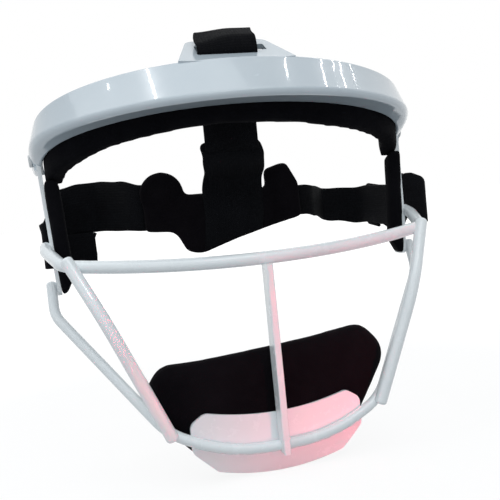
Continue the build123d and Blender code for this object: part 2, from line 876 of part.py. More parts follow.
# Hook tabs, on the outer side of each strap behind its plate
def strap_tab(side, height):
    """A hook tab on a side strap's outer face, cut square to the strap's slope."""
    inner_face = strap_lane + ply - strap_thickness / 2
    rise = (height - slot_height) / (strap_back - loop_back)
    start = return_end + tab_gap
    half = strap_width / 2
    low_start = slot_height + rise * (start - loop_back) - half
    low_end = slot_height + rise * (side_tab_end - loop_back) - half
    with BuildPart() as piece:
        with BuildSketch(Plane.YZ.offset(side * inner_face)) as face:
            with BuildLine():
                Polyline(
                    (start, low_start),
                    (side_tab_end, low_end),
                    (side_tab_end, low_end + strap_width),
                    (start, low_start + strap_width),
                    close=True,
                )
            make_face()
            fillet(face.vertices().group_by(Axis.X)[-1], hook_tab_corner)
        extrude(amount=side * strap_thickness)
    return piece.part


with BuildPart() as right_strap_tab:
    add(strap_tab(1, right_strap_height))

with BuildPart() as left_strap_tab:
    add(strap_tab(-1, left_strap_height))

# Loose tail on the left strap's inner side
tail_bend = strap_outer_bend - ply
with BuildPart() as left_strap_tail:
    with BuildSketch(Plane.XY.offset(-tail_bottom)):
        with BuildLine():
            FilletPolyline(
                (-strap_run_reach - tail_lead, strap_back - ply),
                (ply - strap_lane, strap_back - ply),
                (ply - strap_lane, strap_back - ply - tail_bend - tail_straight),
                radius=tail_bend,
            )
        trace(line_width=strap_thickness)
    extrude(amount=tail_bottom + tail_top)

# Top strap: it hangs behind the liner, crosses over the tab's bar, goes down through
# the slot and comes back under itself
top_strap_shift = tab_shift + strap_slot_shift
bar_middle = tab_root + tab_along * ((tab_slot_start + tab_slot_width + tab_length) / 2)
loop_points = [
    bar_middle + (tab_along * along + tab_out * out) * tab_slot_width
    for along, out in top_loop_shares
]
crown_back = Vector(top_strap_back, bar_middle.Y + crown_rise)
crown_run = (loop_points[0] - crown_back).normalized()
crown_under = crown_run.rotate(Axis.Z, 90) * ply
join = crown_back + crown_under
join += crown_run * ((bar_middle - crown_back).length - top_join_back)
join_end = join - crown_run * top_return
with BuildPart() as top_strap:
    with BuildSketch(Plane.YZ.offset(-top_strap_shift)):
        with BuildLine():
            FilletPolyline(
                (-top_strap_front, tongue_top - top_strap_lap),
                (-top_strap_front, tongue_top + top_strap_hang),
                (top_strap_back, crown_back.Y - top_strap_fall),
                crown_back,
                *loop_points,
                join,
                join_end,
                radius=(top_strap_bend,) * 2 + (crown_bend,) + (top_loop_bend,) * 5,
            )
        trace(line_width=strap_thickness)
    extrude(amount=top_strap_width / 2, both=True)

# Hook tab of the top strap, under its crown
tab_start = join_end - crown_run * tab_gap
tab_end = tab_start - crown_run * top_tab_length
with BuildPart() as top_strap_tab:
    with BuildSketch(Plane.YZ.offset(-top_strap_shift)):
        with BuildLine():
            Line(tab_start, tab_end)
        trace(line_width=strap_thickness)
    extrude(amount=top_strap_width / 2, both=True)

save("brow_shell", brow_shell)
save("brow_liner", brow_liner)
save("shell_rivets", shell_rivets)
save("right_side_plate", right_side_plate)
save("left_side_plate", left_side_plate)
save("right_side_pad", right_side_pad)
save("left_side_pad", left_side_pad)
save("upper_rail", upper_rail)
save("lower_rail", lower_rail)
save("right_diagonal_bar", right_diagonal_bar)
save("left_diagonal_bar", left_diagonal_bar)
save("centre_bar", centre_bar)
save("chin_plate", chin_plate)
save("chin_pad", chin_pad)
save("rear_pad", rear_pad)
save("rear_pad_tongue", rear_pad_tongue)
save("right_side_strap", right_side_strap)
save("left_side_strap", left_side_strap)
save("right_strap_tab", right_strap_tab)
save("left_strap_tab", left_strap_tab)
save("left_strap_tail", left_strap_tail)
save("top_strap", top_strap)
save("top_strap_tab", top_strap_tab)
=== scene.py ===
from math import cos, exp, pi, sin, sqrt, tan

import bmesh
import bpy
from mathutils import Matrix, Vector, noise


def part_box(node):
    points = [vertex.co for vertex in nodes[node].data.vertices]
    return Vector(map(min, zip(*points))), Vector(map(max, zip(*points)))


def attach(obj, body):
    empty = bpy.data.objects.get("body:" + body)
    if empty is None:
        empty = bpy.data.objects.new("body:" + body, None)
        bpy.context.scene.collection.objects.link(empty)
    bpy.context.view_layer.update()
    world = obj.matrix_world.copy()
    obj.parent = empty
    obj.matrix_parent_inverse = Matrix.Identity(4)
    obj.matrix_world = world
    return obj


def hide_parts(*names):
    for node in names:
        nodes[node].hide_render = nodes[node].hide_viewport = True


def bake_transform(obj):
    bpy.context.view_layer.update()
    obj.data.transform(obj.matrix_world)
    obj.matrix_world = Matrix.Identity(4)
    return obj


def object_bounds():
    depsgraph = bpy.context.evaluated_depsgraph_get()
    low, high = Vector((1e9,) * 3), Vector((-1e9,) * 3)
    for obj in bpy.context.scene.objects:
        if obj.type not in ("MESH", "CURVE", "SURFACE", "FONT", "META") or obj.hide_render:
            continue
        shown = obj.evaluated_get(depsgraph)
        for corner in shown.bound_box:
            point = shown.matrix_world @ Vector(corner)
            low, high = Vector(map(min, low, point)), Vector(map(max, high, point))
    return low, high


# The looks of a softball face guard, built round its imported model. Metres, in the
# model's own frame: +X to the right of someone facing the guard, +Y backward through
# the head, +Z up.

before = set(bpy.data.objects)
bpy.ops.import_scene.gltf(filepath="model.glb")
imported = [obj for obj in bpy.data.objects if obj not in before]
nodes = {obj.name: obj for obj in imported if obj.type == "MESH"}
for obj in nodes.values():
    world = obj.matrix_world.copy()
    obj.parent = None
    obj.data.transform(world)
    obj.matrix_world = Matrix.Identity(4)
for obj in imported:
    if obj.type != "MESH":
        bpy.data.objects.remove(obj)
cad_low, cad_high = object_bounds()

MM = 0.001

# Camera, at the photograph's viewing point, and the axes of its view
camera_place = Vector((-89.1, -369.5, 11.9)) * MM
camera_right = Vector((0.9619, -0.2547, -0.0992))
camera_up = Vector((0.1123, 0.0375, 0.9930))
camera_back = Vector((-0.2492, -0.9663, 0.0646))
camera_lens = 52.11
camera_sensor = 36.0

# Webbing
strap_width = 25 * MM
strap_thickness = 1.6 * MM
strap_gap = 0.3 * MM
strap_step = 1.0 * MM        # between the cross rows of a strap's mesh
strap_edge = 0.45 * MM       # rounding of its selvedges
edge_middle = (0.2, 0.36)    # of that rounding and of the thickness, halfway round it
strap_columns = 12
ply = strap_thickness + strap_gap
ripple_length, ripple_width = 11 * MM, 20 * MM
ripple_seed = 900            # times a strap's width
tab_gap = 0.5 * MM
tab_corner = 3.0 * MM

# Sewing
thread_radius = 0.22 * MM
thread_sides = 6
thread_sink = 0.35           # of its radius, how deep a stitch's ends lie
stitch_length = 2.4 * MM
stitch_pitch = 3.0 * MM
stitch_shares = (0.0, 0.18, 0.5, 0.82, 1.0)
thread_slot = 1              # of a piece's materials

# Side straps, seen from above, each number measured outward or backward
plate_inner = 92.8 * MM      # a side plate's inner face, level with the origin
plate_lean = 3.0 * pi / 180
slot_height = 1.5 * MM
slot_low = 14.0 * MM         # depth of the slot's foot below the origin
slot_middle = 4.0 * MM
sewn_reach = 32.0 * MM
strap_pad_reach = 50.0 * MM
strap_run_reach = 68.0 * MM
strap_split = 80.0 * MM      # outward of here a strap slopes down to its slot
loop_back = 12.0 * MM
loop_join = 19.0 * MM
return_end = 23.5 * MM
strap_bends = [bend * MM for bend in (10, 4, 12, 1.4, 3.4, 3.4, 3)]

# How a side strap departs from an even run, as worn webbing does
turn_reach = 70 * MM         # outward of here its reach is counted round its bend too
edges_end = (91.6 * MM, 95.6 * MM)   # between these its edges become even
loop_inner = plate_inner + ply
right_loop_start = 96.5 * MM     # outward of here the right loop leaves the slot's height
right_loop_ramp = 4.5 * MM
right_loop_rise = 6 * MM
right_loop_fall = 0.42       # the slope of its outer part
right_loop_fall_start = 105 * MM
right_loop_corner = 4.6 * MM     # the rounding of its upper corner
right_loop_corner_start = 110.2 * MM
left_loop_share = 0.7        # of its solid's reach that the left loop has
left_loop_drop = 2.6 * MM    # of its upper corner

# How far its lower and upper edges lie above their even run at a reach along it, in
# millimetres, on the right (1) and on the left (-1)
strap_edges = {
    1: [(40, 9.2, 0.8), (46, 9.0, 0.8), (55, 7.2, -0.2), (75, 2.2, -2.5), (91, 0.2, -3.0),
        (114, 2.4, -0.5), (131, 3.0, 0.3), (139, 2.0, 0.0)],
    -1: [(38, -1.5, -2.0), (45, -1.5, -1.8), (56, -0.5, 1.6), (66, 0.2, 3.2), (76, 0.0, 3.1),
         (86, 0.0, 1.8), (100, 0.0, 0.6), (125, 0.0, 0.0)],
}


def rounded(points, bends, step):
    """Points along a line of straight runs whose corners are turned into arcs."""
    points = [Vector(p) for p in points]
    stretches = [points[0]]
    for before, corner, after, bend in zip(points, points[1:], points[2:], bends):
        inlet = (before - corner).normalized()
        outlet = (after - corner).normalized()
        half = inlet.angle(outlet) / 2
        centre = corner + (inlet + outlet).normalized() * (bend / sin(half))
        start = corner + inlet * (bend / tan(half)) - centre
        end = corner + outlet * (bend / tan(half)) - centre
        turns = max(3, round(bend * (pi - 2 * half) / step))
        for i in range(turns + 1):
            stretches.append(centre + start.slerp(end, i / turns).normalized() * start.length)
    stretches.append(points[-1])
    line = [stretches[0]]
    for a, b in zip(stretches, stretches[1:]):
        count = max(1, round((b - a).length / step))
        line += [a.lerp(b, (i + 1) / count) for i in range(count) if (b - a).length > 1e-7]
    return line


def smooth_share(value, low, high):
    """0 below low, 1 above high, and an even curve between them."""
    share = min(1, max(0, (value - low) / (high - low)))
    return share * share * (3 - 2 * share)


def table_row(rows, at):
    """The values of a table at a place between its rows, on a smooth line."""
    for lower, upper in zip(rows, rows[1:]):
        if at <= upper[0]:
            break
    share = smooth_share(at, lower[0], upper[0])
    return [a + (b - a) * share for a, b in zip(lower[1:], upper[1:])]


def new_object(name, mesh):
    piece = bpy.data.objects.new(name, mesh)
    bpy.context.scene.collection.objects.link(piece)
    return piece


def finish_mesh(name, work, skins, smooth=True):
    """The object made from a bmesh, with its materials and smooth faces."""
    bmesh.ops.recalc_face_normals(work, faces=work.faces)
    mesh = bpy.data.meshes.new(name)
    work.to_mesh(mesh)
    work.free()
    for skin in skins:
        mesh.materials.append(skin)
    for face in mesh.polygons:
        face.use_smooth = smooth
    return new_object(name, mesh)


def strap_frames(line, across):
    """For each point of a strap's middle line: the point, and its width and face directions."""
    frames = []
    for i, point in enumerate(line):
        along = (line[min(i + 1, len(line) - 1)] - line[max(i - 1, 0)]).normalized()
        wide = (across - along * across.dot(along)).normalized()
        frames.append((point, wide, along.cross(wide)))
    return frames


def strap_section(width, thickness):
    """The closed outline of a strap's section: across its width, and out from its face."""
    flat = width / 2 - strap_edge
    steps = [flat * (2 * i / strap_columns - 1) for i in range(strap_columns + 1)]
    top = [(a, thickness / 2) for a in steps]
    side = [(width / 2 - strap_edge * edge_middle[0], thickness * edge_middle[1]), (width / 2, 0)]
    side.append((side[0][0], -side[0][1]))
    bottom = [(a, -thickness / 2) for a in reversed(steps)]
    other = [(-a, -b) for a, b in side]
    return top + side + bottom + other


def round_end(distance, corner):
    """How much narrower each side is this near to a strap's rounded end."""
    if distance >= corner:
        return 0.0
    return corner - sqrt(max(0.0, corner * corner - (corner - distance) ** 2))


def ribbon(work, line, across, width, thickness, corner=0.0, ripple=0.0):
    """A flat strap along a line, with rounded selvedges and a UV map in metres."""
    uv = work.loops.layers.uv.verify()
    frames = strap_frames(line, across)
    travel = [0.0]
    for a, b in zip(line, line[1:]):
        travel.append(travel[-1] + (b - a).length)
    rings = []
    for (point, wide, out), at in zip(frames, travel):
        narrow = round_end(travel[-1] - at, corner)
        ring = []
        for a, b in strap_section(width, thickness):
            reach = a * (1 - 2 * narrow / width)
            spot = Vector((at / ripple_length, a / ripple_width, width * ripple_seed))
            lift = ripple * noise.noise(spot)
            place = point + wide * reach + out * (b + lift)
            ring.append((work.verts.new(place), at, reach))
        rings.append(ring)
    count = len(rings[0])
    for ring, following in zip(rings, rings[1:]):
        for i in range(count):
            j = (i + 1) % count
            corners = (ring[i], ring[j], following[j], following[i])
            face = work.faces.new([c[0] for c in corners])
            for loop, c in zip(face.loops, corners):
                loop[uv].uv = (c[1], c[2])
    for ring in (rings[0], rings[-1]):
        face = work.faces.new([c[0] for c in ring])
        for loop, c in zip(face.loops, ring):
            loop[uv].uv = (c[1], c[2])


def stitch(work, start, end, out):
    """One stitch: a short arched thread whose ends go down into the cloth."""
    along = (end - start).normalized()
    wide = along.cross(out).normalized()
    turn = 2 * pi / thread_sides
    rings = []
    for share in stitch_shares:
        rise = thread_radius * (4 * share * (1 - share) - thread_sink)
        radius = thread_radius * (0.55 if share in (0.0, 1.0) else 1.0)
        centre = start.lerp(end, share) + out * rise
        spokes = [wide * cos(k * turn) + out * sin(k * turn) for k in range(thread_sides)]
        rings.append([work.verts.new(centre + spoke * radius) for spoke in spokes])
    faces = []
    for ring, following in zip(rings, rings[1:]):
        for i in range(thread_sides):
            j = (i + 1) % thread_sides
            faces.append((ring[i], ring[j], following[j], following[i]))
    for corners in [*faces, rings[0], rings[-1]]:
        work.faces.new(corners).material_index = thread_slot


def sew(work, points, out):
    """A row of stitches along straight runs on a face."""
    for a, b in zip(points, points[1:]):
        count = max(1, round((b - a).length / stitch_pitch))
        along = (b - a) / count
        for i in range(count):
            start = a + along * i
            stitch(work, start, start + along.normalized() * stitch_length, out)


# Materials


def shader(name):
    """A material and its principled shader."""
    skin = bpy.data.materials.new(name)
    skin.use_nodes = True
    return skin, skin.node_tree, skin.node_tree.nodes["Principled BSDF"]


def put(bsdf, **values):
    """Sets a shader's own sockets."""
    for key, value in values.items():
        bsdf.inputs[key.replace("_", " ")].default_value = value


def node(tree, kind, **values):
    """A shader node with values set on its sockets or, failing that, on itself."""
    made = tree.nodes.new(kind)
    for key, value in values.items():
        label = key.replace("_", " ")
        if label in made.inputs:
            made.inputs[label].default_value = value
        else:
            setattr(made, key, value)
    return made


def place_in_object(tree):
    """An object's own coordinates, which the other views and its motion don't change."""
    return tree.nodes.new("ShaderNodeTexCoord").outputs["Object"]


def speckle(tree, where, scale, detail=3.0, rough=0.5):
    """Noise at a scale, as a factor."""
    made = node(tree, "ShaderNodeTexNoise", Scale=scale, Detail=detail, Roughness=rough)
    tree.links.new(where, made.inputs["Vector"])
    return made.outputs["Fac"]


def spread(tree, factor, low, high, to_low, to_high):
    """A factor's range turned into another range."""
    made = tree.nodes.new("ShaderNodeMapRange")
    made.inputs["From Min"].default_value = low
    made.inputs["From Max"].default_value = high
    made.inputs["To Min"].default_value = to_low
    made.inputs["To Max"].default_value = to_high
    tree.links.new(factor, made.inputs["Value"])
    return made.outputs["Result"]


def tint(tree, factor, first, second):
    """A colour between two colours."""
    made = tree.nodes.new("ShaderNodeMix")
    made.data_type = "RGBA"
    made.inputs["A"].default_value = (*first, 1)
    made.inputs["B"].default_value = (*second, 1)
    tree.links.new(factor, made.inputs["Factor"])
    return made.outputs["Result"]


def mottle(tree, bsdf, factor, low, high, base, tone):
    """A base colour that turns into a second tone where a factor is high."""
    share = spread(tree, factor, low, high, 0, 1)
    tree.links.new(tint(tree, share, base, tone), bsdf.inputs["Base Color"])


def emboss(tree, height, distance, strength=1.0, below=None):
    """A bump from a height, on top of another bump."""
    made = node(tree, "ShaderNodeBump", Distance=distance, Strength=strength)
    tree.links.new(height, made.inputs["Height"])
    if below is not None:
        tree.links.new(below, made.inputs["Normal"])
    return made.outputs["Normal"]


def white_finish(name, base, shade, gloss, coat):
    """Glossy white with faint mottling, dulled patches and a slight orange peel."""
    skin, tree, bsdf = shader(name)
    where = place_in_object(tree)
    patches = speckle(tree, where, scale=38, detail=4, rough=0.6)
    grain = speckle(tree, where, scale=260, detail=2)
    scuffs = speckle(tree, where, scale=150, detail=6, rough=0.7)
    mottle(tree, bsdf, patches, 0.35, 0.7, base, shade)
    dulled = spread(tree, scuffs, 0.5, 0.8, gloss, gloss + 0.12)
    tree.links.new(dulled, bsdf.inputs["Roughness"])
    peel = emboss(tree, grain, distance=0.02 * MM, strength=0.3)
    tree.links.new(peel, bsdf.inputs["Normal"])
    put(bsdf, Coat_Weight=coat, Coat_Roughness=0.04, Specular_IOR_Level=0.5)
    return skin


def foam_finish(name, base, tone, cell):
    """Matt closed-cell foam: fine cells, faint creases and a cloudy tone."""
    skin, tree, bsdf = shader(name)
    where = place_in_object(tree)
    cells = node(tree, "ShaderNodeTexVoronoi", Scale=1 / cell)
    tree.links.new(where, cells.inputs["Vector"])
    creases = speckle(tree, where, scale=130, detail=5, rough=0.65)
    cloud = speckle(tree, where, scale=28, detail=3)
    mottle(tree, bsdf, cloud, 0.3, 0.7, base, tone)
    tree.links.new(spread(tree, creases, 0.3, 0.7, 0.78, 0.95), bsdf.inputs["Roughness"])
    fine = emboss(tree, cells.outputs["Distance"], distance=0.12 * MM, strength=0.7)
    creased = emboss(tree, creases, distance=0.5 * MM, strength=0.35, below=fine)
    tree.links.new(creased, bsdf.inputs["Normal"])
    put(bsdf, Specular_IOR_Level=0.05)
    return skin


def ribs(tree, value, pitch):
    """Rounded ribs at a pitch along one coordinate, as a height from 0 to 1."""
    turn = node(tree, "ShaderNodeMath", operation="MULTIPLY")
    turn.inputs[1].default_value = 2 * pi / pitch
    tree.links.new(value, turn.inputs[0])
    wave = node(tree, "ShaderNodeMath", operation="SINE")
    tree.links.new(turn.outputs[0], wave.inputs[0])
    return spread(tree, wave.outputs[0], -1, 1, 0, 1)


def weave_height(tree, along, across, long_pitch, cross_pitch):
    """A woven height: ribs along the strap, broken by its cross threads."""
    mix = node(tree, "ShaderNodeMath", operation="MULTIPLY")
    tree.links.new(ribs(tree, along, cross_pitch), mix.inputs[0])
    tree.links.new(ribs(tree, across, long_pitch), mix.inputs[1])
    return mix.outputs[0]


def webbing_finish(name, base, tone, long_pitch, cross_pitch):
    """Woven webbing: ribs along it, cross threads, and fibre that is worn in patches."""
    skin, tree, bsdf = shader(name)
    split = tree.nodes.new("ShaderNodeSeparateXYZ")
    tree.links.new(tree.nodes.new("ShaderNodeUVMap").outputs["UV"], split.inputs[0])
    height = weave_height(tree, split.outputs["X"], split.outputs["Y"], long_pitch, cross_pitch)
    where = place_in_object(tree)
    fibre = speckle(tree, where, scale=900, detail=3, rough=0.7)
    wear = speckle(tree, where, scale=60, detail=4, rough=0.6)
    mottle(tree, bsdf, wear, 0.35, 0.75, base, tone)
    tree.links.new(spread(tree, fibre, 0.3, 0.7, 0.7, 0.92), bsdf.inputs["Roughness"])
    woven = emboss(tree, height, distance=0.22 * MM, strength=0.8)
    frayed = emboss(tree, fibre, distance=0.08 * MM, strength=0.5, below=woven)
    tree.links.new(frayed, bsdf.inputs["Normal"])
    put(bsdf, Specular_IOR_Level=0.07)
    return skin


def thread_finish():
    """Sewing thread, a little lighter and shinier than the webbing."""
    skin, tree, bsdf = shader("black_thread")
    twist = speckle(tree, place_in_object(tree), scale=1500, detail=2)
    colour = tint(tree, twist, (0.010, 0.010, 0.012), (0.022, 0.022, 0.026))
    tree.links.new(colour, bsdf.inputs["Base Color"])
    twisted = emboss(tree, twist, distance=0.05 * MM, strength=0.6)
    tree.links.new(twisted, bsdf.inputs["Normal"])
    put(bsdf, Roughness=0.5, Specular_IOR_Level=0.2)
    return skin


# The shell is a white moulding. Its base and mottle tone are set far darker than the wire's white:
# painted shade for the shade its band lies in, with faint random mottling on top.
shell_white_painted_shade = white_finish(
    "moulded_white_painted_shade", (0.54, 0.61, 0.665), (0.51, 0.585, 0.645), gloss=0.2, coat=0.7
)
wire_white = white_finish(
    "coated_white", (0.91, 0.95, 0.97), (0.87, 0.92, 0.95), gloss=0.24, coat=0.5
)
rivet_white = white_finish(
    "rivet_white", (0.72, 0.74, 0.75), (0.62, 0.64, 0.65), gloss=0.3, coat=0.2
)
foam_black = foam_finish(
    "foam_black", (0.002, 0.002, 0.003), (0.004, 0.004, 0.0055), cell=0.6 * MM
)
felt_black = foam_finish(
    "brushed_foam_black", (0.0024, 0.002, 0.003), (0.005, 0.004, 0.0055), cell=0.4 * MM
)
webbing_black = webbing_finish(
    "webbing_black",
    (0.002, 0.0022, 0.0032),
    (0.0045, 0.005, 0.0065),
    long_pitch=1.3 * MM,
    cross_pitch=0.9 * MM,
)
hook_black = foam_finish(
    "hook_tape_black", (0.0025, 0.0025, 0.0035), (0.005, 0.005, 0.0065), cell=1.1 * MM
)
thread_black = thread_finish()

cad_finishes = {
    shell_white_painted_shade: ["brow_shell"],
    rivet_white: ["shell_rivets"],
    wire_white: [
        "right_side_plate",
        "left_side_plate",
        "upper_rail",
        "lower_rail",
        "right_diagonal_bar",
        "left_diagonal_bar",
        "centre_bar",
        "chin_plate",
    ],
}
for skin, names in cad_finishes.items():
    for name in names:
        nodes[name].data.materials.clear()
        nodes[name].data.materials.append(skin)

# Pads: each starts as its solid, evened out, and cloth pressure crowns its faces

swell_scale = 5.0            # the cloth is simulated this much larger
swell_frames = 20
swell_pressure = 4.0
smooth_passes = 8
dent_size = 16 * MM
dent_depth = 0.2 * MM
pads = []


def relax(mesh, passes):
    """Evens out a remeshed surface: each point moves halfway to its neighbours' middle."""
    work = bmesh.new()
    work.from_mesh(mesh)
    for _ in range(passes):
        bmesh.ops.smooth_vert(
            work, verts=work.verts, factor=0.5, use_axis_x=True, use_axis_y=True, use_axis_z=True
        )
    work.to_mesh(mesh)
    work.free()


def pad_from(node_name, name, skin, voxel, start_in, cap):
    """A copy of a pad's solid, set in (or out, below 0) and remeshed evenly."""
    work = bmesh.new()
    work.from_mesh(nodes[node_name].data)
    bmesh.ops.remove_doubles(work, verts=work.verts, dist=1e-6)
    bmesh.ops.recalc_face_normals(work, faces=work.faces)
    for vert in work.verts:
        vert.normal_update()
    for vert in work.verts:
        vert.co -= vert.normal * start_in
    for vert in work.verts:
        vert.co *= swell_scale
    mesh = bpy.data.meshes.new(name)
    work.to_mesh(mesh)
    work.free()
    rough = new_object(name + "_start", mesh)
    remesh = rough.modifiers.new("even", "REMESH")
    remesh.mode = "VOXEL"
    remesh.voxel_size = voxel * swell_scale
    depsgraph = bpy.context.evaluated_depsgraph_get()
    even = bpy.data.meshes.new_from_object(rough.evaluated_get(depsgraph))
    bpy.data.objects.remove(rough)
    even.materials.clear()
    even.materials.append(skin)
    relax(even, smooth_passes)
    piece = new_object(name, even)
    pads.append((piece, cap))
    return piece


def swell_pads():
    """Runs the cloth on every pad at once and keeps each point near its start."""
    starts = {}
    for piece, _ in pads:
        starts[piece.name] = [v.co.copy() for v in piece.data.vertices]
        cloth = piece.modifiers.new("swell", "CLOTH")
        cloth.settings.use_pressure = True
        cloth.settings.uniform_pressure_force = swell_pressure
        cloth.settings.tension_stiffness = 12.0
        cloth.settings.compression_stiffness = 12.0
        cloth.settings.shear_stiffness = 8.0
        cloth.settings.bending_stiffness = 0.8
        cloth.settings.effector_weights.gravity = 0.0
        cloth.point_cache.frame_end = swell_frames
    for step in range(1, swell_frames + 1):
        bpy.context.scene.frame_set(step)
    depsgraph = bpy.context.evaluated_depsgraph_get()
    for piece, cap in pads:
        swollen = bpy.data.meshes.new_from_object(piece.evaluated_get(depsgraph))
        piece.modifiers.clear()
        piece.data = swollen
        most = cap * swell_scale
        for vert, start in zip(swollen.vertices, starts[piece.name]):
            move = vert.co - start
            reach = move.length
            if reach > 0:
                move *= most * (1 - exp(-reach / most)) / reach
            vert.co = (start + move) / swell_scale
        for face in swollen.polygons:
            face.use_smooth = True
    bpy.context.scene.frame_set(1)


def soften(piece, size, depth, seed):
    """Shallow dents and swellings, as on foam that has been worn and pressed."""
    piece.data.update()
    for vert in piece.data.vertices:
        spot = vert.co / size + Vector((seed, 0, 0))
        vert.co += vert.normal * (depth * noise.noise(spot))


def add_smoothing(piece):
    """One subdivision, which the cloth's even mesh needs to look smooth."""
    made = piece.modifiers.new("smooth", "SUBSURF")
    made.levels = 1
    made.render_levels = 1


# Of each: its voxel, how far its start is set in, and the most that a point may move
brow_foam = pad_from("brow_liner", "brow_foam", foam_black, 1.2 * MM, 0.0, 0.4 * MM)
chin_foam = pad_from("chin_pad", "chin_foam", felt_black, 1.4 * MM, -0.8 * MM, 0.9 * MM)
right_foam = pad_from("right_side_pad", "right_side_foam", foam_black, 0.9 * MM, 0.0, 0.4 * MM)
left_foam = pad_from("left_side_pad", "left_side_foam", foam_black, 0.9 * MM, 0.0, 0.4 * MM)
rear_cloth = pad_from("rear_pad", "rear_cloth_pad", felt_black, 1.2 * MM, -0.3 * MM, 0.9 * MM)
swell_pads()

# How far the liner's lower edge lies above its solid's, from left to right, in millimetres
liner_lift = [
    (-92, 0.0), (-80, 0.0), (-60, 1.1), (-15, 1.8), (8, 1.1), (25, 0.9), (45, 0.0), (92, 0.0),
]
liner_rim = 8 * MM           # of its height that follows its lower edge
bin_width = 4 * MM           # of the stretches in which that edge is looked for

lowest = {}
for vert in brow_foam.data.vertices:
    key = round(vert.co.x / bin_width)
    lowest[key] = min(lowest.get(key, 1), vert.co.z)
for vert in brow_foam.data.vertices:
    above = vert.co.z - lowest[round(vert.co.x / bin_width)]
    lift = table_row(liner_lift, vert.co.x / MM)[0]
    vert.co.z += lift * MM * (1 - smooth_share(above, 0, liner_rim))

# The chin pad is wider and a little taller than its solid, the rear pad wider and lower
chin_side = (20 * MM, 56 * MM)
chin_side_grow = {1: 1.2 * MM, -1: 0.6 * MM}
chin_top, chin_top_grow = (-76 * MM, -56 * MM), 0.9 * MM
rear_side, rear_side_grow = (22 * MM, 38 * MM), 1.2 * MM
rear_drop = 0.5 * MM

for vert in chin_foam.data.vertices:
    x, z = vert.co.x, vert.co.z
    for side, grow in chin_side_grow.items():
        vert.co.x += side * grow * smooth_share(side * x, *chin_side)
    vert.co.z += chin_top_grow * smooth_share(z, *chin_top)

for vert in rear_cloth.data.vertices:
    vert.co.x += rear_side_grow * smooth_share(vert.co.x, *rear_side)
    vert.co.z -= rear_drop

for piece, solid, body, slot, fill in (
    (brow_foam, "brow_liner", "guard", "black_foam", 0.9),
    (chin_foam, "chin_pad", "guard", "black_foam", 0.9),
    (right_foam, "right_side_pad", "guard", "black_foam", 0.9),
    (left_foam, "left_side_pad", "guard", "black_foam", 0.9),
    (rear_cloth, "rear_pad", "harness", "black_webbing", 0.5),
):
    soften(piece, dent_size, dent_depth, len(solid))
    add_smoothing(piece)
    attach(piece, body)
    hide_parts(solid)

# Side straps


def slot_rise(y, back, height):
    """The height of a strap's middle where it slopes up from its slot to its run."""
    share = min(1, max(0, (y - loop_back) / (back - loop_back)))
    return slot_height + (height - slot_height) * share


def side_strap_line(side, name):
    """The middle line of a side strap: from the rear pad out and round the plate's bar."""
    low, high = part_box(name)
    lane = plate_inner - slot_low * tan(plate_lean) - strap_gap - strap_thickness / 2
    sewn_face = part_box("rear_pad")[1].y + strap_gap + strap_thickness / 2
    back = high.y - strap_thickness / 2
    outer = max(abs(low.x), abs(high.x)) - strap_thickness / 2
    height = high.z - strap_width / 2
    plan = [
        (sewn_reach, sewn_face),
        (strap_pad_reach, sewn_face),
        (strap_run_reach, back),
        (lane, back),
        (lane, slot_middle),
        (outer, slot_middle),
        (outer, loop_back),
        (lane + ply, loop_join),
        (lane + ply, return_end),
    ]
    line = []
    for x, y, _ in rounded([(x, y, 0) for x, y in plan], strap_bends, strap_step):
        z = slot_rise(y, back, height) if x > strap_split else height
        line.append(Vector((side * x, y, z)))
    return line


def shape_side_strap(work, side, back, height):
    """Lets a strap's edges wander as worn webbing does, and tips its outer loop."""
    for vert in work.verts:
        x, y, z = abs(vert.co.x), vert.co.y, vert.co.z
        reach = x + (max(0, back - y) if x > turn_reach else 0)
        lower, upper = table_row(strap_edges[side], reach / MM)
        centre = slot_rise(y, back, height) if x > strap_split else height
        share = min(1, max(0, (z - centre) / strap_width + 0.5))
        inside = 1 - smooth_share(x, *edges_end)
        vert.co.z += inside * (lower + (upper - lower) * share) * MM
        if x > loop_inner:
            top = smooth_share(z, slot_height, slot_height + strap_width / 2)
            if side > 0:
                ramp = smooth_share(x, right_loop_start, right_loop_start + right_loop_ramp)
                fall = right_loop_fall * max(0, x - right_loop_fall_start)
                bend = min(1, max(0, (x - right_loop_corner_start) / right_loop_corner))
                cut = right_loop_corner * top * (1 - sqrt(1 - bend * bend))
                vert.co.z += right_loop_rise * ramp - fall - cut
            else:
                vert.co.x = side * (loop_inner + (x - loop_inner) * left_loop_share)
                drop = smooth_share(x, loop_inner, loop_inner + 2 * ply)
                vert.co.z -= left_loop_drop * top * drop


def side_webbing(side, solid, name):
    """A side strap, sewn to the rear pad with a crossed box, and the height of its run."""
    line = side_strap_line(side, solid)
    work = bmesh.new()
    ribbon(work, line, Vector((0, 0, 1)), strap_width, strap_thickness, ripple=0.14 * MM)
    height = line[0].z
    face = line[0].y + strap_thickness / 2
    inset = 3 * MM
    near = side * (sewn_reach + inset)
    far = side * (strap_pad_reach - inset)
    box = [
        Vector((x, face, height + z * (strap_width / 2 - inset)))
        for x, z in ((near, -1), (far, -1), (far, 1), (near, 1), (near, -1), (far, 1))
    ]
    sew(work, box, Vector((0, 1, 0)))
    sew(work, [box[1], box[3]], Vector((0, 1, 0)))
    shape_side_strap(work, side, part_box(solid)[1].y - strap_thickness / 2, height)
    piece = finish_mesh(name, work, (webbing_black, thread_black))
    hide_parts(solid)
    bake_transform(piece)
    return height


right_height = side_webbing(1, "right_side_strap", "right_side_webbing")
left_height = side_webbing(-1, "left_side_strap", "left_side_webbing")


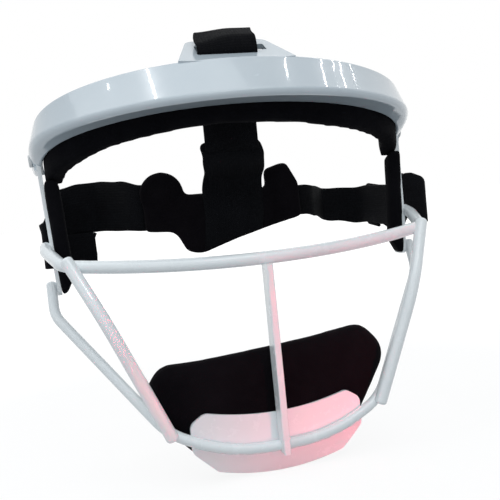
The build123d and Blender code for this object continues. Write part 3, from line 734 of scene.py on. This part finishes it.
def hook_tab(name, solid, body, line, across, width):
    """A hook tape tab: sewn across at both ends, and rounded at its free one."""
    work = bmesh.new()
    ribbon(work, line, across, width, strap_thickness, corner=tab_corner, ripple=0.04 * MM)
    frames = strap_frames(line, across)
    inset = 2.5 * MM
    for row, narrow in ((3, 0), (-5, tab_corner)):
        point, wide, out = frames[row]
        reach = width / 2 - inset - narrow
        for face in (1, -1):
            lift = out * (face * strap_thickness / 2)
            sew(work, [point + wide * reach + lift, point - wide * reach + lift], out * face)
    piece = finish_mesh(name, work, (hook_black, thread_black))
    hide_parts(solid)
    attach(piece, body)
    return piece


def side_hook_tab(side, solid, body, name, height):
    """A side strap's hook tab, which lies along the strap's slope up from its slot."""
    low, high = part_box(solid)
    lane = max(abs(low.x), abs(high.x)) - strap_thickness / 2
    rise = (height - slot_height) / (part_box("left_side_strap")[1].y - loop_back)
    line = []
    count = round((high.y - low.y) / strap_step)
    for i in range(count + 1):
        y = low.y + (high.y - low.y) * i / count
        line.append(Vector((side * lane, y, slot_height + rise * (y - loop_back))))
    hook_tab(name, solid, body, line, Vector((0, 0, 1)), strap_width)


side_hook_tab(1, "right_strap_tab", "right_tab", "right_hook_tab", right_height)
side_hook_tab(-1, "left_strap_tab", "left_tab", "left_hook_tab", left_height)

tail_bend = 10 * MM
tail_ripple = 0.3 * MM
tail_turn = -78 * MM         # outward of here the tail keeps its solid's shape
tail_waist = -8 * MM         # the height at which its inner edge bulges
tail_waist_reach = 9 * MM
tail_bulge = 0.8 * MM
tail_top_rise = 1.2 * MM
tail_slant = 3.2 * MM        # of its upper inner corner
tail_slant_foot = -1 * MM


def left_tail():
    """The loose end of the left strap, which hangs below it on the inner side."""
    low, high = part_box("left_strap_tail")
    back = high.y - strap_thickness / 2
    outer = low.x + strap_thickness / 2
    plan = [(high.x, back, 0), (outer, back, 0), (outer, low.y, 0)]
    flat = rounded(plan, [tail_bend], strap_step)
    middle = (low.z + high.z) / 2
    line = [Vector((p.x, p.y, middle)) for p in reversed(flat)]
    work = bmesh.new()
    wide, across = high.z - low.z, Vector((0, 0, 1))
    ribbon(work, line, across, wide, strap_thickness, corner=tab_corner, ripple=tail_ripple)
    for vert in work.verts:
        x, z = vert.co.x, vert.co.z
        near = smooth_share(x, tail_turn, high.x)
        bulge = tail_bulge * max(0, 1 - abs(z - tail_waist) / tail_waist_reach)
        slant = tail_slant * smooth_share(z, tail_slant_foot, high.z)
        vert.co.z += tail_top_rise * smooth_share(z, tail_waist, high.z)
        vert.co.x += near * (slant + bulge)
    piece = finish_mesh("left_tail_webbing", work, (webbing_black,))
    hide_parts("left_strap_tail")
    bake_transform(piece)


left_tail()

# Top strap, its hook tab and the rear pad's tongue

top_strap_width = 28 * MM
top_tab_length = 12.8 * MM
strap_shift = (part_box("top_strap")[0].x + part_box("top_strap")[1].x) / 2

# The shell's tab: its tilt, its root, and its slot and length measured from there
tab_tilt = 31 * pi / 180
tab_along = Vector((0, cos(tab_tilt), sin(tab_tilt)))
tab_out = Vector((0, -tab_along.z, tab_along.y))
tab_root = Vector((0, -42.5, 77.5)) * MM
slot_start, slot_width, tab_length = 10.5 * MM, 8 * MM, 26 * MM
bar_middle = tab_root + tab_along * ((slot_start + slot_width + tab_length) / 2)

# The strap's corners: at the tongue, over the head, round the bar and back on itself
front_foot = Vector((0, -8.6, 39.4)) * MM
front_top = Vector((0, -8.6, 58)) * MM
crown_back = Vector((0, 22, 90.96)) * MM
crown_fall = Vector((0, 0, -17)) * MM
loop_shares = ((0.42, 0.84), (-1.25, 0.93), (-1.64, 0.36), (-0.85, -0.66))
join_back = 10.5 * MM        # of the returned end, behind the middle of the tab's bar
join_length = 3 * MM
top_bends = [bend * MM for bend in (8, 8, 7, 2.4, 2.4, 2.4, 2.4, 2.4)]

# How the part of the strap on the tab departs from that
crown_side = 2.0 * MM        # to the left
crown_spread = 0.035
crown_end = (-32 * MM, -12 * MM)     # between these it turns into the even strap
crown_drop = 2.6 * MM        # of its left side
crown_drop_side = (-4 * MM, 14 * MM)
crown_drop_height = (84 * MM, 93 * MM)
front_ply_shift = Vector((0, 1.4, 2.3)) * MM
front_ply_height = (84 * MM, 92 * MM)
front_ply_end = (-33 * MM, -26 * MM)


def settle_top(piece):
    """Sets the strap's crown to one side on the tab, and brings it back over the head."""
    for vert in piece.data.vertices:
        front = 1 - smooth_share(vert.co.y, *crown_end)
        left = smooth_share(-vert.co.x, *crown_drop_side)
        vert.co.z -= crown_drop * left * front * smooth_share(vert.co.z, *crown_drop_height)
        low = 1 - smooth_share(vert.co.z, *front_ply_height)
        low *= 1 - smooth_share(vert.co.y, *front_ply_end)
        vert.co -= front_ply_shift * low
        vert.co.x = vert.co.x * (1 + crown_spread * front) + (strap_shift - crown_side) * front


def top_webbing():
    """The top strap, from the tongue over the head and round the tab's bar, and its tab."""
    loop = [bar_middle + (tab_along * a + tab_out * b) * slot_width for a, b in loop_shares]
    run = (loop[0] - crown_back).normalized()
    under = Vector((0, -run.z, run.y)) * ply
    join = crown_back + under + run * ((bar_middle - crown_back).length - join_back)
    join_end = join - run * join_length
    points = [front_foot, front_top, crown_back + crown_fall, crown_back, *loop, join, join_end]
    line = rounded(points, top_bends, strap_step)
    work = bmesh.new()
    across = Vector((1, 0, 0))
    ribbon(work, line, across, top_strap_width, strap_thickness, ripple=0.2 * MM)
    piece = finish_mesh("top_webbing", work, (webbing_black, thread_black))
    settle_top(piece)
    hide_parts("top_strap")
    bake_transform(piece)
    start = join_end - run * tab_gap
    count = round(top_tab_length / strap_step)
    tab_line = [start - run * (top_tab_length * i / count) for i in range(count + 1)]
    width = top_strap_width
    settle_top(hook_tab("top_hook_tab", "top_strap_tab", "top_tab", tab_line, across, width))


# The tongue's edges: the height of each place, and how far left and right it reaches
tongue_edges = [
    (z * MM, left * MM, right * MM)
    for z, left, right in (
        (-9, -15.5, 17.5),
        (8, -13.5, 19.5),
        (20, -13.6, 19.8),
        (28.5, -12.9, 19.6),
        (36, -15.2, 17.4),
        (43.5, -16.6, 15.8),
        (46, -16.0, 14.8),
    )
]
tongue_width = 33 * MM       # of its even strip
tongue_line = [Vector((0, y, z)) * MM for y, z in ((13.2, -5), (13.2, 25), (-6.7, 36), (-6.7, 45))]
tongue_low = tongue_line[0].z
tongue_bends = [8 * MM, 8 * MM]
tongue_corner = 4 * MM
tongue_foot = 10 * MM        # below here its foot follows the rear pad's lower edge
lobe_point = Vector((-13, 0, -10.5)) * MM    # on a line just above that edge
lobe_slope = 0.27
eyelet = Vector((13.0, -6.7, 36.0)) * MM
eyelet_size = Vector((1.3, 6.0, 2.1)) * MM


def punch(piece, middle, size):
    """An oval hole right through a piece, along Y."""
    work = bmesh.new()
    bmesh.ops.create_cone(work, cap_ends=True, segments=24, radius1=1, radius2=1, depth=2)
    for vert in work.verts:
        x, y, z = vert.co
        vert.co = middle + Vector((x * size.x, z * size.y, y * size.z))
    cutter = finish_mesh("cutter", work, ())
    cut = piece.modifiers.new("hole", "BOOLEAN")
    cut.operation = "DIFFERENCE"
    cut.solver = "EXACT"
    cut.object = cutter
    depsgraph = bpy.context.evaluated_depsgraph_get()
    holed = bpy.data.meshes.new_from_object(piece.evaluated_get(depsgraph))
    piece.modifiers.clear()
    piece.data = holed
    bpy.data.objects.remove(cutter)


def tongue_webbing():
    """The rear pad's tongue: up its back, forward and up behind the top strap's foot."""
    line = rounded(tongue_line, tongue_bends, strap_step)
    work = bmesh.new()
    wide, thick, across = tongue_width, strap_thickness, Vector((1, 0, 0))
    ribbon(work, line, across, wide, thick, corner=tongue_corner, ripple=0.3 * MM)
    for vert in work.verts:
        x, z = vert.co.x, vert.co.z
        left, right = table_row(tongue_edges, z)
        vert.co.x = (left + right) / 2 + x * (right - left) / tongue_width
        if z < tongue_foot:
            near = (tongue_foot - z) / (tongue_foot - tongue_low)
            lobe_edge = lobe_point.z + (vert.co.x - lobe_point.x) * lobe_slope
            vert.co.z += near * (lobe_edge - tongue_low)
    piece = finish_mesh("tongue_webbing", work, (webbing_black, thread_black))
    punch(piece, eyelet, eyelet_size)
    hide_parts("rear_pad_tongue")
    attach(piece, "harness")


top_webbing()
tongue_webbing()

# Camera, world, floor and lamps


def add_camera():
    data = bpy.data.cameras.new("camera")
    data.lens = camera_lens
    data.sensor_width = camera_sensor
    data.clip_start = 0.01
    data.clip_end = 20
    camera = bpy.data.objects.new("camera", data)
    turn = Matrix((camera_right, camera_up, camera_back)).transposed()
    camera.matrix_world = Matrix.Translation(camera_place) @ turn.to_4x4()
    bpy.context.scene.collection.objects.link(camera)
    bpy.context.scene.camera = camera


def add_lamp(name, place, target, size, power, colour=(1, 1, 1), beam=pi):
    """A rectangular area lamp that faces a point or, without one, straight down."""
    data = bpy.data.lights.new(name, "AREA")
    data.shape = "RECTANGLE"
    data.size, data.size_y = size
    data.energy = power
    data.color = colour
    data.spread = beam
    lamp = bpy.data.objects.new(name, data)
    lamp.location = place
    lamp.rotation_mode = "QUATERNION"
    if target is not None:
        lamp.rotation_quaternion = (Vector(target) - Vector(place)).to_track_quat("-Z", "Y")
    bpy.context.scene.collection.objects.link(lamp)
    return lamp


def light_only(lamp, pieces):
    """Keeps a lamp's light to some pieces."""
    group = bpy.data.collections.new(lamp.name + "_group")
    for piece in pieces:
        group.objects.link(piece)
    lamp.light_linking.receiver_collection = group


def ray_switch(tree):
    """1 for what the camera sees directly, in a mirror or through glass."""
    path = tree.nodes.new("ShaderNodeLightPath")
    first = node(tree, "ShaderNodeMath", operation="MAXIMUM")
    second = node(tree, "ShaderNodeMath", operation="MAXIMUM")
    tree.links.new(path.outputs["Is Camera Ray"], first.inputs[0])
    tree.links.new(path.outputs["Is Glossy Ray"], first.inputs[1])
    tree.links.new(first.outputs[0], second.inputs[0])
    tree.links.new(path.outputs["Is Transmission Ray"], second.inputs[1])
    return second.outputs[0]


world_light = 0.4
floor_reach = 12.0
floor_gap = 0.5 * MM         # between the floor and the guard's lowest point
floor_glow = 1.23            # its strength, to the camera and in reflections
glow_fade = (0.25, 0.7)      # metres from the origin, between which its share grows
glow_share = (0.72, 0.95)    # near and far: the rest is matt and takes the shadow


def add_world():
    """White to the camera and in reflections, a softer grey as light."""
    world = bpy.data.worlds.new("studio")
    bpy.context.scene.world = world
    world.use_nodes = True
    tree = world.node_tree
    light = tree.nodes["Background"]
    light.inputs["Color"].default_value = (0.92, 0.97, 1.0, 1)
    light.inputs["Strength"].default_value = world_light
    backdrop = tree.nodes.new("ShaderNodeBackground")
    backdrop.inputs["Color"].default_value = (1, 1, 1, 1)
    backdrop.inputs["Strength"].default_value = 1.0
    mix = tree.nodes.new("ShaderNodeMixShader")
    tree.links.new(ray_switch(tree), mix.inputs[0])
    tree.links.new(light.outputs[0], mix.inputs[1])
    tree.links.new(backdrop.outputs[0], mix.inputs[2])
    tree.links.new(mix.outputs[0], tree.nodes["World Output"].inputs["Surface"])


def add_floor():
    """A pale floor just under the guard, nearly white to the camera but for its shadow."""
    level = cad_low.z - floor_gap
    work = bmesh.new()
    corners = [(x * floor_reach, y * floor_reach) for x, y in ((-1, -1), (1, -1), (1, 1), (-1, 1))]
    work.faces.new([work.verts.new((x, y, level)) for x, y in corners])
    skin = bpy.data.materials.new("pale_floor")
    skin.use_nodes = True
    tree = skin.node_tree
    tree.nodes.clear()
    where = place_in_object(tree)
    matt = node(tree, "ShaderNodeBsdfDiffuse")
    grain = speckle(tree, where, scale=30)
    colour = tint(tree, grain, (0.47, 0.48, 0.49), (0.52, 0.53, 0.54))
    tree.links.new(colour, matt.inputs["Color"])
    glow = node(tree, "ShaderNodeEmission", Color=(1, 1, 1, 1), Strength=floor_glow)
    distance = node(tree, "ShaderNodeVectorMath", operation="LENGTH")
    tree.links.new(where, distance.inputs[0])
    share = spread(tree, distance.outputs["Value"], *glow_fade, *glow_share)
    switch = node(tree, "ShaderNodeMath", operation="MULTIPLY")
    tree.links.new(share, switch.inputs[1])
    tree.links.new(ray_switch(tree), switch.inputs[0])
    mix = tree.nodes.new("ShaderNodeMixShader")
    tree.links.new(switch.outputs[0], mix.inputs[0])
    tree.links.new(matt.outputs[0], mix.inputs[1])
    tree.links.new(glow.outputs[0], mix.inputs[2])
    out = tree.nodes.new("ShaderNodeOutputMaterial")
    tree.links.new(mix.outputs[0], out.inputs["Surface"])
    floor = finish_mesh("floor", work, (skin,), smooth=False)


add_camera()
add_world()
add_floor()

target = Vector((0, -20, -10)) * MM
cool, plain = (0.94, 0.98, 1.0), (1, 1, 1)
for name, place, size, power, colour in (
    ("overhead", (-0.3, -0.35, 1.25), (2.0, 1.5), 9.4, cool),
    ("front_fill", (-0.3, -1.2, 0.3), (0.9, 0.7), 1.4, cool),
    ("crest_light", (0.12, -0.7, 0.8), (0.3, 0.05), 0.6, plain),
    ("left_fill", (-0.9, -0.5, 0.3), (0.6, 0.6), 0.5, cool),
    ("back", (0.3, 1.1, 0.8), (0.9, 0.6), 1.7, cool),
):
    add_lamp(name, place, target, size, power, colour)

# Two weak red lamps, for the red light that falls on a few pieces from low in front
red_light = (1, 0.03, 0.1)
red_place = (0.14, -0.45, -0.075)
red_size = (0.03, 0.03)
chin_lit = [nodes["chin_plate"], nodes["centre_bar"], nodes["upper_rail"], chin_foam]
for name, aim, power, beam, lit in (
    ("chin_red", (0.058, -0.085, -0.084), 0.026, 26 * pi / 180, chin_lit),
    ("side_red", (-0.07, -0.045, -0.068), 0.005, 16 * pi / 180, [nodes["left_diagonal_bar"]]),
):
    light_only(add_lamp(name, red_place, aim, red_size, power, red_light, beam), lit)

# Ceiling tubes, which the band reflects as narrow streaks
ceiling = 0.9
ceiling_lamps = (            # x, front, rear, width and power of each
    (-0.20, -0.10, 0.04, 0.012, 0.20),
    (-0.45, -0.01, 0.02, 0.012, 0.025),
    (0.415, 0.045, 0.085, 0.008, 0.025),
    (0.638, 0.11, 0.17, 0.008, 0.05),
    (0.73, 0.15, 0.20, 0.007, 0.03),
    (0.795, 0.18, 0.27, 0.009, 0.08),
    (0.912, 0.26, 0.34, 0.007, 0.04),
)
for i, (x, front, rear, width, power) in enumerate(ceiling_lamps):
    place = Vector((x, (front + rear) / 2, ceiling))
    add_lamp(f"tube_{i + 1}", place, None, (width, rear - front), power)

bpy.context.scene.view_settings.view_transform = "Standard"
